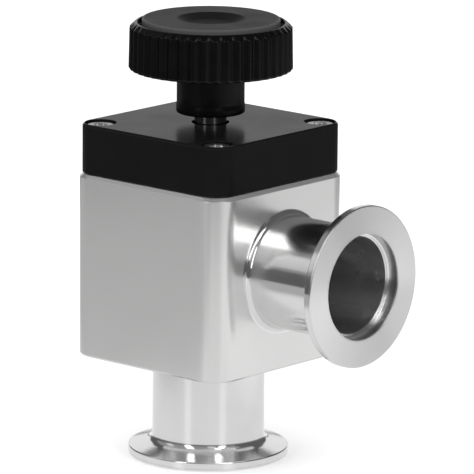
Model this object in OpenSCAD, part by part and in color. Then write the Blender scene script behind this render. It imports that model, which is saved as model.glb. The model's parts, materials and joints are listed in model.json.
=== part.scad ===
// Hand-operated right-angle vacuum valve with DN 25 small-flange ports and a bellows-sealed spindle.
// Units are millimetres. The origin is the centre of the bottom port's sealing face.
// +Z runs up the spindle and +X runs out of the side port. The valve is drawn closed.

/* [Ports] */
// Outside diameter of each port flange
flange_d = 40; // [39.6:0.1:40.4]
// Diameter of the recess that locates the centring ring
recess_d = 26.2; // [26:0.1:26.6]
// Depth of the centring recess
recess_h = 3; // [2.6:0.1:3.4]
// Bore of each port
bore_d = 24; // [22:0.5:25]
// Outside diameter of each port tube
tube_d = 28; // [27.6:0.1:28.4]
// Height of the cylindrical rim of each flange
rim_h = 2; // [1.6:0.1:2.4]
// Slope of the clamping cone behind each flange, in degrees
cone_angle = 15; // [13:1:17]
// Distance from the crossing of the port axes to each port face
leg = 50; // [49:0.5:52]

/* [Body] */
// Width of the square body block
body_w = 49.4; // [49:0.1:50]
// Height of the body block
body_h = 46.1; // [45.5:0.1:47]
// Radius of the block's vertical corners
body_corner = 6.6; // [5:0.1:7]
// Radius of the inner chamber
chamber_r = 18.5; // [18:0.1:18.8]

/* [Bonnet] */
// Width of the square bonnet
bonnet_w = 48; // [47.8:0.1:48.6]
// Thickness of the bonnet
bonnet_h = 12.5; // [12.2:0.1:13]
// Radius of the bonnet's vertical corners
bonnet_corner = 5.6; // [5:0.1:6]
// Distance between neighbouring bonnet screws
screw_pitch = 38.4; // [38:0.1:38.6]

/* [Knob] */
// Radius of the knob's fluted rim
knob_r = 20.2; // [19:0.1:21]
// Height of the fluted rim
knob_rim_h = 11.7; // [11.6:0.1:12.8]
// Radius of the knob's hub
hub_r = 8.4; // [8:0.1:9]
// Height of the hub below the rim
hub_h = 10.8; // [10.5:0.1:11.5]
// Number of flutes around the rim
flutes = 44; // [36:1:48]

/* [Motion] */
// Lift of the valve plate from closed to open
lift = 7.875; // [6:0.375:7.875]
// Pitch of the spindle thread
pitch = 1.5; // [1:0.25:1.5]

/* [Hidden] */
$fn = 96;

// Overlap that keeps cuts clear of coincident faces
eps = 0.5;
// Radial clearance of a running fit
run = 0.05;
// Clearance of parts that are pressed or screwed together
seat_gap = 0.02;
// Broken edge on machined parts
edge = 0.25;

flange_r = flange_d / 2;
recess_r = recess_d / 2;
bore_r = bore_d / 2;
tube_r = tube_d / 2;
body_half = body_w / 2;
stub_l = leg - body_half;
spigot_l = 3.9;
socket_h = 4;
// Fillets at the two ends of a port tube
cone_fillet = 2.2;
shoulder_fillet = 1.5;
shoulder_lip = 0.25;

// Heights in the housing
body_z = stub_l;
body_top = body_z + body_h;
bonnet_top = body_top + bonnet_h;
floor_z = body_z + 5.7;
seat_z = floor_z + 1;
seat_r = 14.6;
ledge_z = body_top - 3.1;
ledge_r = 22;
body_top_chamfer = 0.9;
body_low_chamfer = 0.5;

// Seal between the body and the bellows flange
body_seal_r = 20.2;
body_seal_w = 2;
body_seal_h = 1.35;

// Bonnet screws, M4 socket head
screw_r = 2;
screw_l = 20;
head_r = 3.5;
head_h = 4;
key_r = 1.73;
washer_h = 0.5;
counterbore_r = 4;
counterbore_h = 5;
screw_half = screw_pitch / 2;
screw_seat_z = bonnet_top - counterbore_h + washer_h;

// Bellows and its end parts
bellows_r = 13;
bellows_in_r = 9.3;
bellows_wall = 0.3;
waves = 9;
bellows_flange_h = 2;
bellows_flange_r = ledge_r - 0.1;
neck_h = 1;
clamp_z = ledge_z + bellows_flange_h;

// Valve plate and carrier
plate_z = seat_z + 0.4;
plate_h = 6;
plate_r = 16.5;
plate_top = plate_z + plate_h;
plate_seal_r = 13.25;
plate_seal_cord = 1.3;
cap_h = 2;
cap_top = plate_top + cap_h;
cap_r = 13.4;
carrier_r = 8.5;
carrier_top = cap_top + 16.2;
plate_screw_r = 2.5;
plate_screw_l = 8;
plate_head_r = 4.2;
plate_head_h = 2.8;
plate_washer_h = 0.6;
plate_bore_top = plate_z + 4;

// Thrust parts at the foot of the spindle
ball_r = 2;
ball_z = cap_top + 6.9;
tail_r = 2.5;
tail_z = ball_z + ball_r + seat_gap;
circlip_z = tail_z + 0.6;
circlip_h = 0.6;
circlip_r = 3.9;
groove_r = 2.2;
collar_z = circlip_z + circlip_h;
collar_h = 1.5;
collar_r = 4.4;
nut_z = collar_z + collar_h + run;
nut_h = 3.9;
nut_r = 5.4;
socket_z = ball_z + 0.6;

// Guide pins that keep the carrier from turning
pin_r = 1;
pin_circle_r = 6.9;
pin_z = carrier_top - 6.1;
pin_hole_z = pin_z - lift - 0.6;

// Spindle and its threaded bush
spindle_r = 4;
bush_r = 7.5;
bush_flange_r = 9.2;
bush_z = ledge_z - 1.8;
bush_top = bonnet_top - 3;
thread_z = bush_z - lift + 1.4;
thread_top = bonnet_top - 1.6;
thread_depth = 0.55;
wiper_h = 2.2;
wiper_z = bush_top + 0.1;
lip_z = wiper_z + wiper_h + seat_gap;
lip_r = spindle_r + 0.7;

// Knob
hub_z = bonnet_top + 2.6;
rim_z = hub_z + hub_h;
rim_top = rim_z + knob_rim_h;
rim_chamfer_h = 1.3;
rim_lip_w = 0.5;
knob_top = rim_top + 1;
knob_floor_z = rim_top - 1.4;
cavity_r = 9.5;
cavity_z = rim_top - 5.2;
insert_r = 6;
insert_z = hub_z + 1.1;
flat_r = 3;
flat_depth = 0.6;
flat_z = hub_z + 1.5;
flute_r = 0.75;
flute_circle_r = knob_r + 0.2;
disc_r = 17.1;
disc_gap = 1.1;
dish_r = 8.2;
dish_floor_r = 5.2;
dish_h = 1.2;
knob_washer_h = 0.6;
knob_screw_l = 10;
knob_head_h = 2.6;

// ---------- Shared shapes ----------

// A straight bar whose cross-section is a rectangle with broken top and bottom edges
module chamfered_bar(length, width, height, top, low) {
    half = width / 2;
    rotate([90, 0, 0])
        linear_extrude(length, center = true)
            polygon([
                [-half + low, 0], [half - low, 0], [half, low], [half, height - top],
                [half - top, height], [-half + top, height], [-half, height - top], [-half, low]
            ]);
}

// A square block with round vertical corners and broken top and bottom edges
module rounded_block(width, corner, height, top, low) {
    offset_c = width / 2 - corner;
    for (turn = [0, 90])
        rotate([0, 0, turn])
            chamfered_bar(width - 2 * corner, width, height, top, low);
    for (x = [-offset_c, offset_c], y = [-offset_c, offset_c])
        translate([x, y, 0])
            rotate_extrude()
                polygon([
                    [0, 0], [corner - low, 0], [corner, low], [corner, height - top],
                    [corner - top, height], [0, height]
                ]);
}

// A plain ring between two radii
module ring(outer, inner, height) {
    difference() {
        cylinder(r = outer, h = height);
        translate([0, 0, -eps])
            cylinder(r = inner, h = height + 2 * eps);
    }
}

// Places its child at each of the four bonnet screws
module at_screws() {
    for (x = [-screw_half, screw_half], y = [-screw_half, screw_half])
        translate([x, y, 0])
            children();
}

// A socket head screw: the shank hangs below zero and the head stands above it
module socket_screw(shank_r, length, cap_r, cap_h, hex_r) {
    difference() {
        union() {
            translate([0, 0, -length])
                cylinder(r1 = shank_r - 0.4, r2 = shank_r, h = 0.4);
            translate([0, 0, 0.4 - length])
                cylinder(r = shank_r, h = length - 0.4 + eps);
            cylinder(r = cap_r, h = cap_h - 0.3);
            translate([0, 0, cap_h - 0.3])
                cylinder(r1 = cap_r, r2 = cap_r - 0.3, h = 0.3);
        }
        translate([0, 0, cap_h * 0.45])
            cylinder(r = hex_r, h = cap_h, $fn = 6);
    }
}

// ---------- Housing ----------

// Outline of a port stub, from the sealing face up to the spigot that enters the body
module stub_profile() {
    slope = tan(cone_angle);
    fillet_x = tube_r + cone_fillet;
    fillet_z = rim_h + (flange_r - fillet_x) * slope + cone_fillet / cos(cone_angle);
    touch_x = fillet_x - cone_fillet * sin(cone_angle);
    touch_z = fillet_z - cone_fillet * cos(cone_angle);
    shoulder_r = tube_r + shoulder_fillet;
    shoulder_z = stub_l - shoulder_lip - shoulder_fillet;
    spigot_r = tube_r - seat_gap;
    difference() {
        polygon([
            [bore_r, recess_h], [recess_r, recess_h], [recess_r, 0], [flange_r - edge, 0],
            [flange_r, edge], [flange_r, rim_h], [touch_x, touch_z], [fillet_x, fillet_z],
            [tube_r, fillet_z], [tube_r, shoulder_z], [shoulder_r, shoulder_z],
            [shoulder_r, stub_l], [spigot_r, stub_l], [spigot_r, stub_l + spigot_l],
            [bore_r, stub_l + spigot_l]
        ]);
        translate([fillet_x, fillet_z])
            circle(r = cone_fillet);
        translate([shoulder_r, shoulder_z])
            circle(r = shoulder_fillet);
    }
}

module port_stub() {
    rotate_extrude()
        stub_profile();
}

module body_block() {
    color("#c4c6c8")
        union() {
            difference() {
                translate([0, 0, body_z])
                    rounded_block(body_w, body_corner, body_h, body_top_chamfer, body_low_chamfer);
                translate([0, 0, floor_z])
                    cylinder(r = chamber_r, h = body_top - floor_z);
                translate([0, 0, ledge_z])
                    cylinder(r = ledge_r, h = body_top - ledge_z + eps);
                translate([0, 0, ledge_z - body_seal_h])
                    ring(body_seal_r + body_seal_w / 2 + 0.1, body_seal_r - body_seal_w / 2 - 0.1,
                        body_seal_h + eps);
                translate([0, 0, body_z - eps])
                    cylinder(r = bore_r, h = floor_z - body_z + 2 * eps);
                translate([0, 0, body_z - eps])
                    cylinder(r = tube_r, h = socket_h + eps);
                translate([0, 0, leg])
                    rotate([0, 90, 0])
                        cylinder(r = bore_r, h = body_half + eps);
                translate([body_half - socket_h, 0, leg])
                    rotate([0, 90, 0])
                        cylinder(r = tube_r, h = socket_h + eps);
                at_screws()
                    translate([0, 0, screw_seat_z - screw_l - 2])
                        cylinder(r = screw_r + run, h = screw_l);
            }
            translate([0, 0, floor_z - eps])
                ring(seat_r, bore_r, seat_z - floor_z + eps);
        }
}

module bottom_port_stub() {
    color("#dcdddf")
        port_stub();
}

module side_port_stub() {
    color("#dcdddf")
        translate([leg, 0, leg])
            rotate([0, -90, 0])
                port_stub();
}

module bonnet() {
    color("#232324")
        difference() {
            union() {
                translate([0, 0, body_top])
                    rounded_block(bonnet_w, bonnet_corner, bonnet_h, 0.5, 0.3);
                translate([0, 0, clamp_z])
                    cylinder(r = bellows_flange_r, h = body_top - clamp_z + eps);
            }
            translate([0, 0, clamp_z - eps])
                cylinder(r = bush_r + seat_gap, h = lip_z - clamp_z + eps);
            translate([0, 0, lip_z - eps])
                cylinder(r = lip_r, h = bonnet_top - lip_z + 2 * eps);
            at_screws() {
                translate([0, 0, bonnet_top - counterbore_h])
                    cylinder(r = counterbore_r, h = counterbore_h + eps);
                translate([0, 0, body_top - eps])
                    cylinder(r = screw_r + 0.25, h = bonnet_h);
            }
        }
}

module bonnet_screws() {
    color("#d4d5d6")
        at_screws()
            translate([0, 0, screw_seat_z])
                socket_screw(screw_r, screw_l, head_r, head_h, key_r);
}

module bonnet_washers() {
    color("#c8c9ca")
        at_screws()
            translate([0, 0, screw_seat_z - washer_h])
                ring(head_r, screw_r + 0.2, washer_h);
}

module body_seal() {
    color("#1a1a1b")
        rotate_extrude()
            translate([body_seal_r, ledge_z - body_seal_h / 2])
                intersection() {
                    circle(r = body_seal_w / 2, $fn = 48);
                    square([body_seal_w, body_seal_h], center = true);
                }
}

module bellows_flange() {
    color("#b9bbbd")
        union() {
            translate([0, 0, ledge_z])
                ring(bellows_flange_r, bush_flange_r + 0.3, bellows_flange_h);
            translate([0, 0, ledge_z - neck_h])
                ring(bellows_r + 0.4, bellows_r - 1, neck_h + eps);
        }
}

// One side of the convoluted wall, shifted in by a given distance
function wave_points(inset, low, high) = [
    for (i = [0 : 2 * waves])
        let (crest = i % 2 == 0 ? bellows_r - inset : bellows_in_r - inset)
        let (z = low + (high - low) * i / (2 * waves))
        each [[crest, max(low, z - 0.25)], [crest, min(high, z + 0.25)]]
];

module bellows() {
    low = cap_top + seat_gap;
    high = ledge_z - neck_h;
    outer = wave_points(0, low, high);
    inner = wave_points(bellows_wall, low, high);
    color("#aeb0b2")
        rotate_extrude()
            polygon(concat(outer, [for (i = [len(inner) - 1 : -1 : 0]) inner[i]]));
}

module spindle_bush() {
    color("#b08d57")
        difference() {
            union() {
                translate([0, 0, bush_z])
                    cylinder(r = bush_flange_r, h = clamp_z - bush_z);
                translate([0, 0, bush_z])
                    cylinder(r = bush_r, h = bush_top - bush_z);
            }
            translate([0, 0, bush_z - eps])
                cylinder(r = spindle_r + run, h = bush_top - bush_z + 2 * eps);
            for (side = [-1, 1])
                translate([0, side * pin_circle_r, bush_z - eps])
                    cylinder(r = pin_r, h = clamp_z - bush_z - 0.6 + eps);
        }
}

module guide_pins() {
    pin_l = clamp_z - 0.6 - pin_z;
    color("#c8c9ca")
        for (side = [-1, 1])
            translate([0, side * pin_circle_r, pin_z]) {
                cylinder(r1 = pin_r - 0.3, r2 = pin_r, h = 0.3);
                translate([0, 0, 0.3])
                    cylinder(r = pin_r, h = pin_l - 0.3);
            }
}

module wiper_seal() {
    color("#161617")
        translate([0, 0, wiper_z])
            difference() {
                cylinder(r = bush_r, h = wiper_h);
                translate([0, 0, -eps])
                    cylinder(r = spindle_r + run, h = wiper_h + 2 * eps);
                translate([0, 0, wiper_h - 0.8])
                    ring(bush_r - 1, spindle_r + 0.9, 0.8 + eps);
            }
}

// ---------- Carrier, which lifts without turning ----------

module bellows_cap() {
    color("#b9bbbd")
        difference() {
            union() {
                translate([0, 0, plate_top])
                    cylinder(r = cap_r, h = cap_h);
                translate([0, 0, plate_top])
                    cylinder(r = carrier_r, h = carrier_top - plate_top);
            }
            translate([0, 0, plate_top - eps])
                cylinder(r = plate_screw_r + run, h = 6 + eps);
            translate([0, 0, ball_z - ball_r - seat_gap])
                cylinder(r = ball_r + run, h = ball_r + 2 * eps);
            translate([0, 0, socket_z])
                cylinder(r = collar_r + 0.2, h = carrier_top - socket_z + eps);
            translate([0, 0, nut_z - seat_gap])
                cylinder(r = nut_r + seat_gap, h = carrier_top - nut_z + eps);
            for (side = [-1, 1])
                translate([0, side * pin_circle_r, pin_hole_z])
                    cylinder(r = pin_r + run, h = carrier_top - pin_hole_z + eps);
        }
}

module valve_plate() {
    groove_w = plate_seal_cord + 0.05;
    color("#c4c6c8")
        difference() {
            union() {
                translate([0, 0, plate_z])
                    cylinder(r1 = plate_r - 0.5, r2 = plate_r, h = 0.5);
                translate([0, 0, plate_z + 0.5])
                    cylinder(r = plate_r, h = plate_h - 1);
                translate([0, 0, plate_top - 0.5])
                    cylinder(r1 = plate_r, r2 = plate_r - 0.5, h = 0.5);
            }
            translate([0, 0, plate_z - eps])
                cylinder(r = plate_head_r + 0.5, h = plate_bore_top - plate_z + eps);
            translate([0, 0, plate_z - eps])
                cylinder(r = plate_screw_r + 0.2, h = plate_h + 2 * eps);
            translate([0, 0, plate_z - eps])
                ring(plate_seal_r + groove_w, plate_seal_r - groove_w,
                    2 * plate_seal_cord - 0.36 + eps);
        }
}

module plate_seal() {
    color("#1a1a1b")
        rotate_extrude()
            translate([plate_seal_r, seat_z + seat_gap + plate_seal_cord])
                circle(r = plate_seal_cord, $fn = 48);
}

module plate_screw() {
    color("#d4d5d6")
        translate([0, 0, plate_bore_top - plate_washer_h])
            mirror([0, 0, 1])
                socket_screw(plate_screw_r, plate_screw_l, plate_head_r, plate_head_h, 2.3);
}

module plate_washer() {
    color("#c8c9ca")
        translate([0, 0, plate_bore_top - plate_washer_h])
            ring(plate_head_r, plate_screw_r + 0.2, plate_washer_h);
}

module thrust_ball() {
    color("#d9dadb")
        translate([0, 0, ball_z])
            sphere(r = ball_r, $fn = 48);
}

module retaining_nut() {
    color("#b08d57")
        difference() {
            translate([0, 0, nut_z])
                cylinder(r = nut_r, h = nut_h);
            translate([0, 0, nut_z - eps])
                cylinder(r = tail_r + 0.08, h = nut_h + 2 * eps);
            for (turn = [0, 180])
                rotate([0, 0, turn])
                    translate([3.2, -0.6, nut_z + nut_h - 1])
                        cube([3, 1.2, 1 + eps]);
        }
}

// ---------- Spindle and knob, which turn and rise ----------

// Half outline of the threaded stretch, one ridge for each turn of the thread
function thread_points() = [
    for (i = [0 : floor((thread_top - thread_z) / pitch) - 1])
        let (z = thread_z + i * pitch)
        each [
            [spindle_r, z + 0.1 * pitch], [spindle_r, z + 0.4 * pitch],
            [spindle_r - thread_depth, z + 0.65 * pitch], [spindle_r - thread_depth, z + 0.85 * pitch]
        ]
];

module spindle() {
    stem_top = cavity_z - 0.3;
    color("#cfd0d2")
        difference() {
            rotate_extrude()
                polygon(concat(
                    [
                        [0, tail_z], [tail_r - 0.3, tail_z], [tail_r, tail_z + 0.3],
                        [tail_r, circlip_z], [groove_r, circlip_z],
                        [groove_r, circlip_z + circlip_h], [tail_r, circlip_z + circlip_h],
                        [tail_r, thread_z - 2], [spindle_r - thread_depth, thread_z - 0.5]
                    ],
                    thread_points(),
                    [
                        [spindle_r, thread_top], [spindle_r, flat_z], [flat_r, flat_z],
                        [flat_r, stem_top - 0.3], [flat_r - 0.3, stem_top], [0, stem_top]
                    ]
                ));
            translate([flat_r - flat_depth, -flat_r, flat_z])
                cube([flat_r, 2 * flat_r, stem_top]);
            translate([0, 0, stem_top - knob_screw_l - 1])
                cylinder(r = screw_r + run, h = knob_screw_l + 1 + eps);
        }
}

module thrust_collar() {
    color("#b08d57")
        translate([0, 0, collar_z])
            ring(collar_r, tail_r + seat_gap, collar_h);
}

module circlip() {
    color("#6d6f71")
        difference() {
            translate([0, 0, circlip_z])
                ring(circlip_r, groove_r + seat_gap, circlip_h - seat_gap);
            translate([0, -1.4, circlip_z - eps])
                cube([circlip_r + 1, 2.8, circlip_h + 2 * eps]);
        }
}

// Half outline of the knob without its flutes
module knob_profile() {
    polygon([
        [0, hub_z], [hub_r - 0.5, hub_z], [hub_r + 0.25, hub_z + 0.7], [hub_r + 0.2, hub_z + 1.4],
        [hub_r, hub_z + 2.4], [hub_r, rim_z - 0.8], [hub_r + 0.8, rim_z], [knob_r - 0.9, rim_z],
        [knob_r - 0.25, rim_z + 0.35], [knob_r, rim_z + 1], [knob_r, rim_top - rim_chamfer_h],
        [disc_r + disc_gap + rim_lip_w, rim_top], [0, rim_top]
    ]);
}

module knob() {
    color("#19191a")
        difference() {
            rotate_extrude()
                knob_profile();
            for (i = [0 : flutes - 1])
                rotate([0, 0, i * 360 / flutes])
                    translate([flute_circle_r, 0, rim_z - eps])
                        cylinder(r = flute_r, h = knob_rim_h + 2 * eps, $fn = 24);
            translate([0, 0, knob_floor_z])
                cylinder(r = disc_r + disc_gap, h = rim_top - knob_floor_z + eps);
            translate([0, 0, cavity_z])
                cylinder(r = cavity_r, h = rim_top - cavity_z);
            translate([0, 0, insert_z])
                cylinder(r = insert_r, h = cavity_z - insert_z + eps);
            translate([0, 0, hub_z - eps])
                cylinder(r = spindle_r + 0.2, h = insert_z - hub_z + 2 * eps);
        }
}

module knob_insert() {
    color("#b5a642")
        difference() {
            translate([0, 0, insert_z])
                cylinder(r = insert_r, h = cavity_z - insert_z);
            translate([0, 0, insert_z - eps])
                cylinder(r = spindle_r + seat_gap, h = flat_z - insert_z + seat_gap + eps);
            difference() {
                translate([0, 0, flat_z])
                    cylinder(r = flat_r + seat_gap, h = cavity_z - flat_z + eps);
                translate([flat_r - flat_depth + seat_gap, -flat_r, flat_z - eps])
                    cube([flat_r, 2 * flat_r, cavity_z - flat_z + 3 * eps]);
            }
        }
}

module knob_washer() {
    color("#c8c9ca")
        translate([0, 0, cavity_z])
            ring(5, screw_r + 0.15, knob_washer_h);
}

module knob_screw() {
    color("#d4d5d6")
        translate([0, 0, cavity_z + knob_washer_h])
            socket_screw(screw_r, knob_screw_l, head_r, knob_head_h, key_r);
}

module knob_cap() {
    color("#3c3d3e")
        union() {
            rotate_extrude()
                polygon([
                    [0, knob_floor_z], [disc_r, knob_floor_z], [disc_r, knob_top - 0.5],
                    [disc_r - 0.15, knob_top - 0.15], [disc_r - 0.5, knob_top], [dish_r, knob_top],
                    [dish_floor_r, knob_top - dish_h], [0, knob_top - dish_h]
                ]);
            translate([0, 0, knob_floor_z - 2])
                ring(cavity_r - seat_gap, cavity_r - 1.2, 2 + 0.2);
        }
}

body_block();
side_port_stub();
bottom_port_stub();
bonnet();
bonnet_screws();
bonnet_washers();
body_seal();
bellows_flange();
bellows();
spindle_bush();
guide_pins();
wiper_seal();
bellows_cap();
valve_plate();
plate_seal();
plate_screw();
plate_washer();
thrust_ball();
retaining_nut();
spindle();
thrust_collar();
circlip();
knob();
knob_insert();
knob_washer();
knob_screw();
knob_cap();
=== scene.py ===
"""Looks of a hand-operated right-angle vacuum valve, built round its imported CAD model.

Outlines are written in millimetres and turned into metres when a mesh is made.
The frame is the model's own: +Z runs up the spindle and +X runs out of the side port.
"""
import json
import math

import bmesh
import bpy
from mathutils import Matrix, Vector

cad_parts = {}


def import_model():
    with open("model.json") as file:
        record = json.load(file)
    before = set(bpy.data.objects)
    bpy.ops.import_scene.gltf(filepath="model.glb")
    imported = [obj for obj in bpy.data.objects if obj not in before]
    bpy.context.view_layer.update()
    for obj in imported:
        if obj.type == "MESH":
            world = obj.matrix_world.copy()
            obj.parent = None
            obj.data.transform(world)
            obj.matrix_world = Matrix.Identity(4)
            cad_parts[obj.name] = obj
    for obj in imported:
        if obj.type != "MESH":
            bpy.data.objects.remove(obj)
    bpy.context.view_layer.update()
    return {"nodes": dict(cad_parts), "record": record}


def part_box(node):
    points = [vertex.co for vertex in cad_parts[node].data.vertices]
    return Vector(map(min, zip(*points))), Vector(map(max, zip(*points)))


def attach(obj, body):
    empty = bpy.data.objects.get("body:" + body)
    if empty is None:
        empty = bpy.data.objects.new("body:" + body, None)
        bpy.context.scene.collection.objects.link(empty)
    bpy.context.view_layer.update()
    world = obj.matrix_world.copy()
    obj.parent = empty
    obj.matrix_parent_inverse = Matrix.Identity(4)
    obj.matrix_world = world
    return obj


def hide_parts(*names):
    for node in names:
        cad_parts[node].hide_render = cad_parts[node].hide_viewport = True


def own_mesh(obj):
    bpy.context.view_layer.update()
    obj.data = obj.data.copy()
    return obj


MM = 0.001
TURN = 2 * math.pi

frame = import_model()


def box_mm(node):
    """Lowest and highest corner of a CAD node, in millimetres."""
    low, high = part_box(node)
    return low / MM, high / MM


def mount(name):
    """One of the record's mounts."""
    return next(m for m in frame["record"]["mounts"] if m["name"] == name)


def mount_mm(name, key):
    """A stated dimension of a mount, in millimetres."""
    return mount(name)["dims"][key]


# ---------- Mesh helpers ----------

def rounded(corners, step=math.radians(11)):
    """Closed outline of (r, z, radius) corners, each turned into an arc of that radius."""
    outline = []
    for i, (x, y, radius) in enumerate(corners):
        here = Vector((x, y))
        before = (Vector(corners[i - 1][:2]) - here).normalized()
        after = (Vector(corners[(i + 1) % len(corners)][:2]) - here).normalized()
        if radius == 0:
            outline.append((x, y))
            continue
        half = before.angle(after) / 2
        centre = here + (before + after).normalized() * radius / math.sin(half)
        start = here + before * radius / math.tan(half) - centre
        end = here + after * radius / math.tan(half) - centre
        sweep = math.atan2(start.cross(end), start.dot(end))
        steps = max(2, math.ceil(abs(sweep) / step))
        for k in range(steps + 1):
            point = centre + Matrix.Rotation(sweep * k / steps, 2) @ start
            outline.append((point.x, point.y))
    return outline


def lathe(outline, segments, shape=None):
    """A closed outline of (r, z) points turned round Z. shape(r, z, turn) may change the radius."""
    mesh = bmesh.new()
    rings = []
    for i in range(segments):
        turn = TURN * i / segments
        ring = []
        for r, z in outline:
            reach = shape(r, z, turn) if shape else r
            ring.append(mesh.verts.new((reach * math.cos(turn), reach * math.sin(turn), z)))
        rings.append(ring)
    count = len(outline)
    for i in range(segments):
        here, there = rings[i], rings[(i + 1) % segments]
        for k in range(count):
            nxt = (k + 1) % count
            if outline[k][0] < 1e-6 and outline[nxt][0] < 1e-6:
                continue
            mesh.faces.new((here[k], there[k], there[nxt], here[nxt]))
    bmesh.ops.remove_doubles(mesh, verts=mesh.verts, dist=1e-5)
    bmesh.ops.recalc_face_normals(mesh, faces=mesh.faces)
    return mesh


def join(target, source, place=None):
    """Adds a copy of source to target, moved by a matrix."""
    scratch = bpy.data.meshes.new("scratch")
    source.to_mesh(scratch)
    if place is not None:
        scratch.transform(place)
    target.from_mesh(scratch)
    bpy.data.meshes.remove(scratch)
    return target


def finish_piece(name, mesh, body, slot, stands_for, place=None, sharp=50):
    """Makes the object in metres, shades it, gives it its material and hangs it on its body."""
    data = bpy.data.meshes.new(name)
    mesh.to_mesh(data)
    mesh.free()
    if place is not None:
        data.transform(place)
    data.transform(Matrix.Scale(MM, 4))
    data.shade_smooth()
    data.set_sharp_from_angle(angle=math.radians(sharp))
    piece = bpy.data.objects.new(name, data)
    bpy.context.scene.collection.objects.link(piece)
    weigh = piece.modifiers.new("even_faces", "WEIGHTED_NORMAL")
    weigh.keep_sharp = True
    weigh.weight = 100
    bpy.context.view_layer.update()
    evaluated = piece.evaluated_get(bpy.context.evaluated_depsgraph_get())
    final = bpy.data.meshes.new_from_object(evaluated)
    piece.modifiers.clear()
    piece.data = final
    piece.data.materials.clear()
    piece.data.materials.append(MATERIALS[slot])
    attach(piece, body)
    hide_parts(stands_for)
    return piece


# ---------- Material helpers ----------

def add_node(tree, kind, values=(), **settings):
    """Adds a node. values maps input names to numbers, colours or the outputs of other nodes."""
    node = tree.nodes.new(kind)
    for key, value in settings.items():
        setattr(node, key, value)
    for key, value in dict(values).items():
        if isinstance(value, bpy.types.NodeSocket):
            tree.links.new(value, node.inputs[key])
        else:
            node.inputs[key].default_value = value
    return node


def grey(level, tint=(1.0, 1.0, 1.0)):
    """A colour of a given brightness."""
    return (level * tint[0], level * tint[1], level * tint[2], 1.0)


def principled(name, metallic, **sockets):
    """A new material, its node tree and its shader, with the shader's uniform values set."""
    material = bpy.data.materials.new(name)
    material.use_nodes = True
    tree = material.node_tree
    shader = tree.nodes["Principled BSDF"]
    shader.inputs["Metallic"].default_value = metallic
    for key, value in sockets.items():
        shader.inputs[key.replace("_", " ")].default_value = value
    return material, tree, shader


def object_place(tree):
    """Each point's own place on the object, in metres."""
    return add_node(tree, "ShaderNodeTexCoord").outputs["Object"]


def turned_place(tree, axis, centre=(0.0, 0.0, 0.0)):
    """A point's distance from a turning axis and its place along it, for marks that run round."""
    place = add_node(tree, "ShaderNodeVectorMath", {0: object_place(tree), 1: centre},
                     operation="SUBTRACT").outputs[0]
    parts = add_node(tree, "ShaderNodeSeparateXYZ", {0: place}).outputs
    across = [parts[k] for k in range(3) if k != axis]
    flat = add_node(tree, "ShaderNodeCombineXYZ", {0: across[0], 1: across[1]}).outputs[0]
    radius = add_node(tree, "ShaderNodeVectorMath", {0: flat}, operation="LENGTH").outputs["Value"]
    return add_node(tree, "ShaderNodeCombineXYZ", {0: radius, 2: parts[axis]}).outputs[0]


def noise(tree, place, size, stretch=(1.0, 1.0, 1.0), detail=3.0):
    """Noise whose features are about size metres across, drawn out along an axis by stretch."""
    scaled = add_node(tree, "ShaderNodeVectorMath", {0: place, 1: [1 / (size * s) for s in stretch]},
                      operation="MULTIPLY").outputs[0]
    return add_node(tree, "ShaderNodeTexNoise",
                    {"Vector": scaled, "Scale": 1.0, "Detail": detail}).outputs[0]


def spread(tree, value, low, high):
    """Noise brought to run from low to high."""
    return add_node(tree, "ShaderNodeMapRange",
                    {"Value": value, "From Min": 0.3, "From Max": 0.7,
                     "To Min": low, "To Max": high}).outputs[0]


def blend_colours(tree, factor, first, second):
    """A colour between two others."""
    return add_node(tree, "ShaderNodeMixRGB",
                    {"Fac": factor, "Color1": first, "Color2": second}).outputs[0]


def dot_product(tree, first, second):
    """How far one direction or place runs along another."""
    return add_node(tree, "ShaderNodeVectorMath", {0: first, 1: second},
                    operation="DOT_PRODUCT").outputs["Value"]


def relief(tree, height, depth, normal=None):
    """A bumped normal of a given depth in metres."""
    values = {"Height": height, "Distance": depth, "Strength": 1.0}
    if normal is not None:
        values["Normal"] = normal
    return add_node(tree, "ShaderNodeBump", values).outputs[0]


def soft_edge(tree, radius):
    """A normal that runs smoothly over sharp edges."""
    return add_node(tree, "ShaderNodeBevel", {"Radius": radius}, samples=4).outputs[0]


# ---------- Materials ----------

def body_steel():
    """Fine milled stainless steel: a satin grain, faint long mill lines and slight handling marks."""
    material, tree, shader = principled("body_steel", 0.84)
    place = object_place(tree)
    cloud = noise(tree, place, 0.014, detail=2.0)
    lines = noise(tree, place, 0.00035, stretch=(1.0, 1.0, 40.0), detail=2.0)
    grain = noise(tree, place, 0.00012)
    tone = blend_colours(tree, cloud, grey(0.70, (1.0, 1.0, 0.995)), grey(0.76, (1.0, 1.0, 0.995)))
    tree.links.new(tone, shader.inputs["Base Color"])
    mixed = add_node(tree, "ShaderNodeMath", {0: cloud, 1: grain}, operation="ADD").outputs[0]
    rough = add_node(tree, "ShaderNodeMapRange",
                     {"Value": mixed, "From Min": 0.6, "From Max": 1.4,
                      "To Min": 0.2, "To Max": 0.27}).outputs[0]
    tree.links.new(rough, shader.inputs["Roughness"])
    normal = relief(tree, lines, 0.00000012, soft_edge(tree, 0.00025))
    tree.links.new(relief(tree, grain, 0.0000008, normal), shader.inputs["Normal"])
    return material


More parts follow.
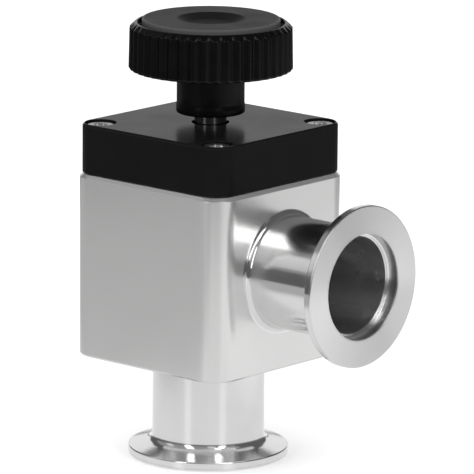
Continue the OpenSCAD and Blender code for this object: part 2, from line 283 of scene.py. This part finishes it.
def turned_steel(axis, centre):
    """Bright turned stainless steel: fine tool marks on the sealing face, polished further along."""
    name = "turned_steel" if axis == 2 else "turned_steel_side"
    material, tree, shader = principled(name, 1.0, Anisotropic=0.9, Anisotropic_Rotation=0.25)
    round_place = turned_place(tree, axis, centre)
    marks = noise(tree, round_place, 0.00022, detail=4.0)
    cloud = noise(tree, object_place(tree), 0.006, detail=4.0)
    tone = blend_colours(tree, cloud, grey(0.76), grey(0.88))
    tree.links.new(tone, shader.inputs["Base Color"])
    along = add_node(tree, "ShaderNodeSeparateXYZ", {0: round_place}).outputs[2]
    depth = add_node(tree, "ShaderNodeMath", {0: along}, operation="ABSOLUTE").outputs[0]
    finish = add_node(tree, "ShaderNodeMapRange",
                      {"Value": depth, "From Min": 0.0002, "From Max": 0.0006,
                       "To Min": 0.36, "To Max": 0.17}).outputs[0]
    radius = add_node(tree, "ShaderNodeSeparateXYZ", {0: round_place}).outputs[0]
    bore = add_node(tree, "ShaderNodeMapRange",
                    {"Value": radius, "From Min": 0.0138, "From Max": 0.0132,
                     "To Min": -0.02, "To Max": 0.09}).outputs[0]
    bored = add_node(tree, "ShaderNodeMath", {0: finish, 1: bore}, operation="ADD").outputs[0]
    blotch = spread(tree, cloud, -0.02, 0.02)
    rough = add_node(tree, "ShaderNodeMath", {0: bored, 1: blotch}, operation="ADD").outputs[0]
    tree.links.new(rough, shader.inputs["Roughness"])
    tree.links.new(relief(tree, marks, 0.0000012), shader.inputs["Normal"])
    tangent = add_node(tree, "ShaderNodeTangent", direction_type="RADIAL", axis="XYZ"[axis])
    tree.links.new(tangent.outputs[0], shader.inputs["Tangent"])
    return material


def inner_steel():
    """Satin stainless steel of the parts inside the chamber."""
    material, tree, shader = principled("inner_steel", 1.0)
    marks = noise(tree, turned_place(tree, 2), 0.00025, detail=3.0)
    cloud = noise(tree, object_place(tree), 0.008, detail=2.0)
    tree.links.new(blend_colours(tree, cloud, grey(0.60), grey(0.70)), shader.inputs["Base Color"])
    tree.links.new(spread(tree, cloud, 0.22, 0.32), shader.inputs["Roughness"])
    tree.links.new(relief(tree, marks, 0.000002), shader.inputs["Normal"])
    return material


def spindle_steel():
    """Ground steel with fine marks round it and a thin film of grease."""
    material, tree, shader = principled("spindle_steel", 1.0)
    marks = noise(tree, turned_place(tree, 2), 0.00018, detail=3.0)
    film = noise(tree, object_place(tree), 0.003, detail=3.0)
    tree.links.new(blend_colours(tree, film, grey(0.24), grey(0.32)), shader.inputs["Base Color"])
    tree.links.new(spread(tree, film, 0.12, 0.22), shader.inputs["Roughness"])
    tree.links.new(relief(tree, marks, 0.0000015), shader.inputs["Normal"])
    return material


def bright_fastener():
    """Cold-headed stainless fasteners: bright, with faint forming marks."""
    material, tree, shader = principled("bright_fastener", 1.0)
    cloud = noise(tree, object_place(tree), 0.0015, detail=3.0)
    grain = noise(tree, object_place(tree), 0.00015)
    tree.links.new(blend_colours(tree, cloud, grey(0.70), grey(0.84)), shader.inputs["Base Color"])
    tree.links.new(spread(tree, cloud, 0.3, 0.44), shader.inputs["Roughness"])
    tree.links.new(relief(tree, grain, 0.000002, soft_edge(tree, 0.00012)), shader.inputs["Normal"])
    return material


def spring_steel():
    """Oiled dark spring steel."""
    material, tree, shader = principled("spring_steel", 1.0)
    cloud = noise(tree, object_place(tree), 0.0012, detail=3.0)
    tree.links.new(blend_colours(tree, cloud, grey(0.16), grey(0.26)), shader.inputs["Base Color"])
    tree.links.new(spread(tree, cloud, 0.25, 0.42), shader.inputs["Roughness"])
    return material


def black_anodised():
    """Black anodised aluminium: a blasted micro texture under a thin oxide, with a painted highlight
    along its edges.
    """
    material, tree, shader = principled("black_anodised", 0.0, IOR=1.11)
    place = object_place(tree)
    cloud = noise(tree, place, 0.011, detail=4.0)
    grain = noise(tree, place, 0.00016)
    edge = soft_edge(tree, 0.0003)
    face = add_node(tree, "ShaderNodeNewGeometry").outputs["Normal"]
    lean = dot_product(tree, edge, face)
    # Painted highlight: the base colour turns paler where the bevelled normal leans away from the
    # face, along every edge.
    painted_edge_highlight_mask = add_node(tree, "ShaderNodeMapRange",
                    {"Value": lean, "From Min": 0.99, "From Max": 0.86,
                     "To Min": 0.0, "To Max": 0.6}).outputs[0]
    black = blend_colours(tree, cloud, grey(0.005), grey(0.008))
    tree.links.new(blend_colours(tree, painted_edge_highlight_mask, black, grey(0.03)), shader.inputs["Base Color"])
    tree.links.new(spread(tree, cloud, 0.2, 0.27), shader.inputs["Roughness"])
    tree.links.new(relief(tree, grain, 0.0000015, edge), shader.inputs["Normal"])
    return material


def knob_plastic():
    """Black moulded plastic with a fine spark-eroded texture."""
    material, tree, shader = principled("knob_plastic", 0.0, IOR=1.27)
    place = object_place(tree)
    cloud = noise(tree, place, 0.006, detail=3.0)
    grain = noise(tree, place, 0.0002, detail=2.0)
    tree.links.new(blend_colours(tree, cloud, grey(0.0012), grey(0.0022)), shader.inputs["Base Color"])
    tree.links.new(spread(tree, cloud, 0.22, 0.3), shader.inputs["Roughness"])
    tree.links.new(relief(tree, grain, 0.000006), shader.inputs["Normal"])
    return material


def cap_plastic():
    """The knob's cap: a smoother, greyer moulding with faint handling marks and a painted highlight
    ring round its edge.
    """
    material, tree, shader = principled("cap_plastic", 0.0, IOR=1.12)
    place = object_place(tree)
    cloud = noise(tree, place, 0.009, detail=4.0)
    grain = noise(tree, place, 0.00025, detail=2.0)
    radius = add_node(tree, "ShaderNodeSeparateXYZ", {0: turned_place(tree, 2)}).outputs[0]
    rim = box_mm("knob_cap")[1].x * MM
    # Painted highlight: the base colour turns paler in a ring just inside the rim, standing in for
    # light caught on the rounded edge.
    edge = add_node(tree, "ShaderNodeMapRange",
                    {"Value": radius, "From Min": rim - 0.0008, "From Max": rim - 0.0002}).outputs[0]
    painted_rim_highlight = blend_colours(tree, edge, blend_colours(tree, cloud, grey(0.008), grey(0.013)), grey(0.07))
    tree.links.new(painted_rim_highlight, shader.inputs["Base Color"])
    polish = add_node(tree, "ShaderNodeMapRange",
                      {"Value": radius, "From Min": 0.0078, "From Max": 0.0088,
                       "To Min": 0.55, "To Max": 0.42}).outputs[0]
    blotch = spread(tree, cloud, -0.03, 0.03)
    rough = add_node(tree, "ShaderNodeMath", {0: polish, 1: blotch}, operation="ADD").outputs[0]
    tree.links.new(rough, shader.inputs["Roughness"])
    tree.links.new(relief(tree, grain, 0.000004), shader.inputs["Normal"])
    return material


def seal_rubber():
    """Dark fluoroelastomer: matt, with a faint bloom."""
    material, tree, shader = principled("seal_rubber", 0.0)
    cloud = noise(tree, object_place(tree), 0.002, detail=4.0)
    tree.links.new(blend_colours(tree, cloud, grey(0.008), grey(0.022)), shader.inputs["Base Color"])
    tree.links.new(spread(tree, cloud, 0.45, 0.62), shader.inputs["Roughness"])
    tree.links.new(relief(tree, cloud, 0.00001), shader.inputs["Normal"])
    return material


def copper_alloy(name, first, second):
    """Turned bronze or brass: marks run round the axis and the tone drifts a little."""
    material, tree, shader = principled(name, 1.0)
    marks = noise(tree, turned_place(tree, 2), 0.00022, detail=3.0)
    cloud = noise(tree, object_place(tree), 0.004, detail=3.0)
    tree.links.new(blend_colours(tree, cloud, first, second), shader.inputs["Base Color"])
    tree.links.new(spread(tree, cloud, 0.2, 0.33), shader.inputs["Roughness"])
    tree.links.new(relief(tree, marks, 0.0000025), shader.inputs["Normal"])
    return material


SIDE_CENTRE = Vector(mount("side_port_recess")["pos_m"])
MATERIALS = {
    "body_steel": body_steel(),
    "turned_steel": turned_steel(2, (0.0, 0.0, 0.0)),
    "turned_steel_side": turned_steel(0, SIDE_CENTRE),
    "inner_steel": inner_steel(),
    "spindle_steel": spindle_steel(),
    "bright_fastener": bright_fastener(),
    "spring_steel": spring_steel(),
    "black_anodised": black_anodised(),
    "knob_plastic": knob_plastic(),
    "cap_plastic": cap_plastic(),
    "seal_rubber": seal_rubber(),
    "bronze": copper_alloy("bronze", (0.50, 0.31, 0.16, 1.0), (0.62, 0.41, 0.22, 1.0)),
    "brass": copper_alloy("brass", (0.68, 0.50, 0.24, 1.0), (0.78, 0.60, 0.31, 1.0)),
}
for part in frame["record"]["subparts"]:
    node = frame["nodes"][part["node"]]
    node.data.materials.clear()
    node.data.materials.append(MATERIALS[part["material_slot"]])


# ---------- Port stubs ----------

def stub_outline():
    """Outline of a port stub, from its sealing face up to the spigot that enters the body."""
    flange_r = mount_mm("bottom_flange_rim", "r_mm")
    recess_r = mount_mm("bottom_port_recess", "r_mm")
    recess_h = mount_mm("bottom_port_recess", "length_mm")
    spigot_end = box_mm("bottom_port_stub")[1].z
    shoulder = box_mm("body_block")[0].z
    bore_r = 12
    tube_r = 14
    rim_h = 2
    cone_fillet = 2.2
    shoulder_fillet = 1.5
    lip = 0.03
    cone_angle = math.radians(15)
    overlap = 0.02
    cone_end = rim_h + (flange_r - tube_r) * math.tan(cone_angle)
    return rounded([
        (bore_r, spigot_end, 0.2),
        (bore_r, recess_h, 0.25),
        (recess_r, recess_h, 0.55),
        (recess_r, 0, 0.2),
        (flange_r, 0, 0.28),
        (flange_r, rim_h, 0.4),
        (tube_r, cone_end, cone_fillet),
        (tube_r, shoulder - lip, shoulder_fillet),
        (tube_r + shoulder_fillet + overlap, shoulder - lip, 0),
        (tube_r + shoulder_fillet, shoulder, 0),
        (tube_r - overlap, shoulder, 0),
        (tube_r - overlap, spigot_end, 0.2),
    ])


def port_stubs():
    """The two port stubs: the same turned part, one below the body and one at its side."""
    outline = stub_outline()
    segments = 192
    finish_piece("bottom_port_turned", lathe(outline, segments), "housing", "turned_steel",
                 "bottom_port_stub")
    place = Matrix.Translation(SIDE_CENTRE / MM) @ Matrix.Rotation(-TURN / 4, 4, "Y")
    side = finish_piece("side_port_turned", lathe(outline, segments), "housing", "turned_steel",
                        "side_port_stub", place)
    side.data.materials[0] = MATERIALS["turned_steel_side"]


# ---------- Knob ----------

FLUTES = 44
FLUTE_ROOT_R = 19.55
FLUTE_SHAPE = 1.3
CAP_POCKET_DEPTH = 1.4


def fluted(r, z, turn):
    """Cuts the flutes: only what stands outside their root moves in."""
    cut = (0.5 + 0.5 * math.cos(FLUTES * turn)) ** FLUTE_SHAPE
    return r - max(0.0, r - FLUTE_ROOT_R) * cut


def knob():
    """The moulded hand knob: a hub, a fluted rim and the pocket that takes the insert and the cap."""
    low, high = box_mm("knob")
    cap_r = box_mm("knob_cap")[1].x
    cap_low = high.z - CAP_POCKET_DEPTH
    insert_low, insert_high = box_mm("knob_insert")
    rim_low = high.z - 11.7
    rim_r = high.x
    draft = 0.15
    chamfer_h = 1.3
    groove_r = cap_r + 1.1
    lip_r = groove_r + 0.5
    bore_r = 4.2
    insert_r = 6.0
    pocket_r = 9.5
    hub_r = 8.4
    flare_r = hub_r + 0.15
    outline = rounded([
        (bore_r, low.z, 0.15),
        (flare_r, low.z, 0.5),
        (flare_r, low.z + 1.6, 0.9),
        (hub_r, low.z + 2.6, 2),
        (hub_r, rim_low, 0.8),
        (rim_r + draft, rim_low, 0.7),
        (rim_r - 0.05, high.z - chamfer_h, 0.35),
        (lip_r, high.z, 0.4),
        (groove_r, high.z, 0.1),
        (groove_r, cap_low, 0.1),
        (pocket_r, cap_low, 0.1),
        (pocket_r, insert_high.z, 0),
        (insert_r, insert_high.z, 0),
        (insert_r, insert_low.z, 0),
        (bore_r, insert_low.z, 0.1),
    ])
    finish_piece("knob_moulding", lathe(outline, FLUTES * 10, fluted), "spindle", "knob_plastic",
                 "knob", sharp=60)


def knob_cap():
    """The disc that closes the knob, with a sunk centre and a locating ring below."""
    low, high = box_mm("knob_cap")
    disc_low = box_mm("knob")[1].z - CAP_POCKET_DEPTH
    disc_r = high.x
    ring_inner_r = 8.3
    ring_outer_r = 9.48
    dish_r = 8.2
    dish_floor_r = 5.2
    dish_low = high.z - 1.2
    outline = rounded([
        (0, disc_low, 0),
        (ring_inner_r, disc_low, 0),
        (ring_inner_r, low.z, 0.1),
        (ring_outer_r, low.z, 0.1),
        (ring_outer_r, disc_low, 0),
        (disc_r, disc_low, 0.1),
        (disc_r, high.z, 0.45),
        (dish_r, high.z, 0.3),
        (dish_floor_r, dish_low, 2.5),
        (0, dish_low, 0),
    ], step=math.radians(4))
    finish_piece("knob_cap_disc", lathe(outline, 160), "spindle", "cap_plastic", "knob_cap", sharp=60)


# ---------- Threads, screws and the spindle ----------

def thread_form(phase):
    """Depth of a trapezoidal thread at a share of one pitch, from 0 on the crest to 1 at the root."""
    up = abs((phase % 1.0) - 0.5) * 2
    return min(1.0, max(0.0, (0.62 - up) / 0.24))


def threaded(outer, depth, pitch, low, high):
    """A radius function that cuts a right-hand thread between two heights."""
    def shape(r, z, turn):
        if r < outer - depth or not low < z < high:
            return r
        fade = min(1.0, (z - low) / pitch, (high - z) / pitch)
        return r - depth * fade * thread_form(z / pitch - turn / TURN)
    return shape


def thread_heights(low, high, pitch, steps):
    """Heights that are close enough together to show a thread."""
    count = math.ceil((high - low) / pitch * steps)
    return [low + (high - low) * k / count for k in range(count + 1)]


def screw_head(head_r, head_h, key_flat, key_depth):
    """A knurled socket head that sits on z = 0."""
    knurls = 36
    knurl_depth = 0.09
    key_floor = head_h - key_depth
    outline = rounded([
        (0, 0, 0),
        (head_r, 0, 0.2),
        (head_r, head_h, 0.45),
        (key_flat + 0.32, head_h, 0.1),
        (key_flat, head_h - 0.18, 0),
        (key_flat, key_floor, 0),
        (0, key_floor - 0.5, 0),
    ])

    def shape(r, z, turn):
        if r < key_flat + 0.01:
            return r / math.cos((turn + TURN / 12) % (TURN / 6) - TURN / 12)
        if r > head_r - 0.01 and z < head_h - 0.5:
            return r - knurl_depth * (0.5 + 0.5 * math.cos(knurls * turn))
        return r

    heights = [(head_r, 0.35 + (head_h - 0.95) * k / 6) for k in range(7)]
    spot = next(i for i, (r, z) in enumerate(outline) if z > head_h / 2)
    return lathe(outline[:spot] + heights + outline[spot:], 144, shape)


def screw_shank(radius, length, pitch):
    """A threaded shank that hangs below z = 0, its top inside the head."""
    depth = pitch * 0.54
    point = 0.4
    into_head = 0.2
    rows = [(radius, z) for z in thread_heights(-length + point, into_head, pitch, 7)]
    outline = [(0, -length), (radius - point, -length)] + rows + [(0, into_head)]
    return lathe(outline, 32, threaded(radius, depth, pitch, -length + point, -0.3))


def bonnet_screws():
    """Four socket head screws, sunk in the bonnet's corners."""
    low, high = box_mm("bonnet_screws")
    head_r = 3.5
    head_h = 4
    seat = high.z - head_h
    shank_r = 2
    single = screw_head(head_r, head_h, 1.5, 2.0)
    join(single, screw_shank(shank_r, seat - low.z, 0.7))
    group = bmesh.new()
    for i, x in enumerate((low.x + head_r, high.x - head_r)):
        for k, y in enumerate((low.y + head_r, high.y - head_r)):
            key_turn = Matrix.Rotation(math.radians(17 + 40 * i + 23 * k), 4, "Z")
            join(group, single, Matrix.Translation((x, y, seat)) @ key_turn)
    single.free()
    finish_piece("bonnet_screw_set", group, "housing", "bright_fastener", "bonnet_screws", sharp=40)


def spindle():
    """The stem: a grooved tail, a trapezoidal thread and a top with a flat for the knob."""
    low, high = box_mm("spindle")
    pitch = 1.5
    outer = 4
    depth = 0.75
    thread_low = 60.0
    thread_high = 82.2
    flat_low = box_mm("knob_insert")[0].z + 0.4
    clip_low, clip_high = box_mm("circlip")
    top_r = 3
    flat_x = 2.4
    tail_r = 2.5
    groove_r = 2.2
    groove_top = clip_high.z + 0.02
    tapped_r = 2.05
    tapped_depth = 11
    rows = [(outer, z) for z in thread_heights(thread_low, thread_high, pitch, 12)]
    outline = [
        (0, low.z),
        (groove_r, low.z),
        (tail_r, low.z + 0.3),
        (tail_r, clip_low.z),
        (groove_r, clip_low.z),
        (groove_r, groove_top),
        (tail_r, groove_top),
        (tail_r, thread_low - 2),
        (3.2, thread_low - 0.5),
    ] + rows + [
        (outer, thread_high + 0.1),
        (outer, flat_low),
        (top_r, flat_low),
        (top_r, flat_low + 0.1),
        (top_r, high.z - 0.3),
        (top_r - 0.3, high.z),
        (tapped_r, high.z),
        (tapped_r, high.z - tapped_depth),
        (0, high.z - tapped_depth - 0.8),
    ]
    cut = threaded(outer, depth, pitch, thread_low, thread_high)

    def shape(r, z, turn):
        if z > flat_low and r > tapped_r + 0.05 and math.cos(turn) > 0:
            return min(r, flat_x / math.cos(turn))
        return cut(r, z, turn)

    finish_piece("spindle_threaded", lathe(outline, 96, shape), "spindle", "spindle_steel",
                 "spindle", sharp=35)


# ---------- Bellows ----------

def bellows():
    """The metal bellows: round convolutions of thin wall between its two welded ends."""
    low, high = box_mm("bellows")
    waves = 9
    wall = 0.3
    outer_r = high.x
    inner_r = 9.3
    middle = (outer_r + inner_r) / 2
    steps = waves * 20
    length = high.z - low.z
    fullness = 0.55

    def side(inset):
        """One face of the wall, moved in from the outer face."""
        points = []
        for k in range(steps + 1):
            swing = math.cos(TURN * waves * k / steps)
            swell = math.copysign(abs(swing) ** fullness, swing)
            points.append((middle + swell * (outer_r - middle) - inset, low.z + length * k / steps))
        return points

    outline = side(0) + side(wall)[::-1]
    piece = finish_piece("bellows_convolutions", lathe(outline, 128), "housing", "inner_steel",
                         "bellows")
    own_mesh(piece)


port_stubs()
knob()
knob_cap()
bonnet_screws()
spindle()
bellows()


# ---------- Camera ----------

AZIMUTH = math.radians(41.56)
ELEVATION = math.radians(12.43)
DISTANCE = 1.3414
TARGET = Vector((0, 0, 0.060))
AIM_RIGHT = 0.00679
AIM_DOWN = 0.00509
ROLL = math.radians(0.476)
LENS = 410.75


def direction(azimuth, elevation):
    """A unit vector: azimuth 0 points along -Y and 90 degrees along +X."""
    flat = math.cos(elevation)
    return Vector((math.sin(azimuth) * flat, -math.cos(azimuth) * flat, math.sin(elevation)))


def camera():
    """A long lens that looks slightly down at the edge between the two flat faces."""
    back = direction(AZIMUTH, ELEVATION)
    right = Vector((math.cos(AZIMUTH), math.sin(AZIMUTH), 0))
    up = back.cross(right)
    eye = TARGET + back * DISTANCE
    aim = TARGET + right * AIM_RIGHT - up * AIM_DOWN
    axis_z = (eye - aim).normalized()
    axis_x = Vector((0, 0, 1)).cross(axis_z).normalized()
    axis_y = axis_z.cross(axis_x)
    turn = Matrix((axis_x, axis_y, axis_z)).transposed().to_4x4()
    data = bpy.data.cameras.new("camera")
    data.lens = LENS
    data.clip_end = 100
    made = bpy.data.objects.new("camera", data)
    made.matrix_world = Matrix.Translation(eye) @ turn @ Matrix.Rotation(ROLL, 4, "Z")
    bpy.context.scene.collection.objects.link(made)
    bpy.context.scene.camera = made


# ---------- Studio ----------

def plain_material(name, colour, emission):
    """A matt stage material that may also glow."""
    material, tree, shader = principled(name, 0.0, Roughness=1.0)
    shader.inputs["Base Color"].default_value = grey(colour)
    shader.inputs["Emission Color"].default_value = grey(1.0)
    shader.inputs["Emission Strength"].default_value = emission
    return material


def plane(name, centre, across, along, size, material):
    """A flat stage panel."""
    half_a = across * size[0] / 2
    half_b = along * size[1] / 2
    data = bpy.data.meshes.new(name)
    corners = [
        centre - half_a - half_b,
        centre + half_a - half_b,
        centre + half_a + half_b,
        centre - half_a + half_b,
    ]
    data.from_pydata(corners, [], [(0, 1, 2, 3)])
    data.materials.append(material)
    made = bpy.data.objects.new(name, data)
    bpy.context.scene.collection.objects.link(made)
    return made


def softbox(name, azimuth, distance, height, size, radiance):
    """A one-sided area light that stands upright, turned to the object, unseen by the camera."""
    data = bpy.data.lights.new(name, "AREA")
    data.shape = "RECTANGLE"
    data.size, data.size_y = size
    data.energy = 4 * size[0] * size[1] * radiance
    made = bpy.data.objects.new(name, data)
    toward = direction(math.radians(azimuth), 0)
    made.location = toward * distance + Vector((0, 0, height))
    aim = made.location - Vector((0, 0, min(height, 0.06)))
    made.rotation_mode = "QUATERNION"
    made.rotation_quaternion = aim.to_track_quat("Z", "Y")
    made.visible_camera = False
    bpy.context.scene.collection.objects.link(made)
    return made


def studio():
    """A pale floor, a bright table seen only in reflections, and softboxes round the object."""
    x_axis, y_axis = Vector((1, 0, 0)), Vector((0, 1, 0))
    floor_matt = plain_material("floor", 0.72, 0.28)
    floor = plane("floor", Vector((0, 0, -0.0004)), x_axis, y_axis, (30, 30), floor_matt)
    floor.visible_glossy = False
    left = -Vector((math.cos(AZIMUTH), math.sin(AZIMUTH), 0))
    front = direction(AZIMUTH, 0)
    table_centre = left * (TABLE_LEFT - TABLE_RIGHT) / 2 + front * (TABLE_FRONT - TABLE_BACK) / 2
    table = plane("table", table_centre + Vector((0, 0, -0.0002)), left, front,
                  (TABLE_LEFT + TABLE_RIGHT, TABLE_FRONT + TABLE_BACK), table_material(left, front))
    table.visible_camera = False
    table.visible_diffuse = False
    table.visible_shadow = False
    for row in SOFTBOXES:
        softbox(*row)
    tent()


def tent():
    """A dim white cloth round the front and the sides, seen only in reflections."""
    steps = 40
    low, high = 0.4, 2.6
    first, sweep = -85, 185
    radius = 1.5
    points = []
    for k in range(steps + 1):
        toward = direction(math.radians(first + sweep * k / steps), 0) * radius
        points += [toward + Vector((0, 0, low)), toward + Vector((0, 0, high))]
    faces = [(2 * k, 2 * k + 1, 2 * k + 3, 2 * k + 2) for k in range(steps)]
    data = bpy.data.meshes.new("tent")
    data.from_pydata(points, [], faces)
    data.materials.append(plain_material("tent", 0.0, 0.29))
    made = bpy.data.objects.new("tent", data)
    bpy.context.scene.collection.objects.link(made)
    made.visible_camera = False
    made.visible_diffuse = False
    made.visible_shadow = False


def table_material(left, front):
    """A satin table that glows most near the object and to its right, and least behind it there."""
    material, tree, shader = principled("table", 0.0, Roughness=0.32, IOR=1.16)
    shader.inputs["Base Color"].default_value = grey(0.0)
    shader.inputs["Emission Color"].default_value = grey(1.0)
    place = object_place(tree)
    across = dot_product(tree, place, left)
    leftward = add_node(tree, "ShaderNodeMapRange",
                        {"Value": across, "From Min": 0.07, "From Max": 0.13,
                         "To Min": 0.79, "To Max": 0.42}, interpolation_type="SMOOTHSTEP").outputs[0]
    rightward = add_node(tree, "ShaderNodeMapRange",
                         {"Value": across, "From Min": -0.06, "From Max": -0.12,
                          "To Min": 0.0, "To Max": 0.2}, interpolation_type="SMOOTHSTEP").outputs[0]
    falling = add_node(tree, "ShaderNodeMapRange",
                       {"Value": across, "From Min": -0.2, "From Max": -0.34,
                        "To Min": 0.0, "To Max": -0.2}, interpolation_type="SMOOTHSTEP").outputs[0]
    glow = add_node(tree, "ShaderNodeMath", {0: leftward, 1: rightward}, operation="ADD").outputs[0]
    nearer = dot_product(tree, place, front)
    behind = add_node(tree, "ShaderNodeMapRange",
                      {"Value": nearer, "From Min": -0.08, "From Max": -0.14,
                       "To Min": 0.0, "To Max": -0.45}, interpolation_type="SMOOTHSTEP").outputs[0]
    beside = add_node(tree, "ShaderNodeMapRange",
                      {"Value": across, "From Min": -0.1, "From Max": -0.2}).outputs[0]
    glow = add_node(tree, "ShaderNodeMath", {0: glow, 1: falling}, operation="ADD").outputs[0]
    glow = add_node(tree, "ShaderNodeMath", {0: behind, 1: beside, 2: glow},
                    operation="MULTIPLY_ADD").outputs[0]
    tree.links.new(glow, shader.inputs["Emission Strength"])
    return material


def world():
    """White for the camera and for soft light, and a dark room in reflections."""
    made = bpy.data.worlds.new("studio")
    bpy.context.scene.world = made
    made.use_nodes = True
    tree = made.node_tree
    path = add_node(tree, "ShaderNodeLightPath")
    tone = blend_colours(tree, path.outputs["Is Glossy Ray"], grey(1.05), grey(ROOM))
    tree.links.new(tone, tree.nodes["Background"].inputs["Color"])


# How far the table reaches from the object, in metres, and how bright the dark room is
TABLE_LEFT = 0.38
TABLE_RIGHT = 0.62
TABLE_FRONT = 0.33
TABLE_BACK = 0.28
ROOM = 0.11

# Name, azimuth in degrees, distance and height of the centre in metres, width and height, radiance
SOFTBOXES = [
    ("strip_front", -1, 0.8, 0.5, (0.2, 0.64), 2.4),
    ("strip_side", 71, 0.8, 0.5, (0.2, 0.64), 2.2),
    ("panel_side", 74, 0.7, 0.9, (0.45, 0.4), 1.9),
    ("panel_back", 221.5, 0.9, 0.28, (0.9, 0.46), 0.6),
    ("panel_left", -47, 1.2, 0.67, (0.36, 0.5), 0.35),
    ("panel_front", 49, 1.2, 0.67, (0.36, 0.5), 0.35),
]

camera()
world()
studio()
bpy.context.scene.view_settings.view_transform = "Standard"
bpy.context.scene.cycles.use_denoising = True
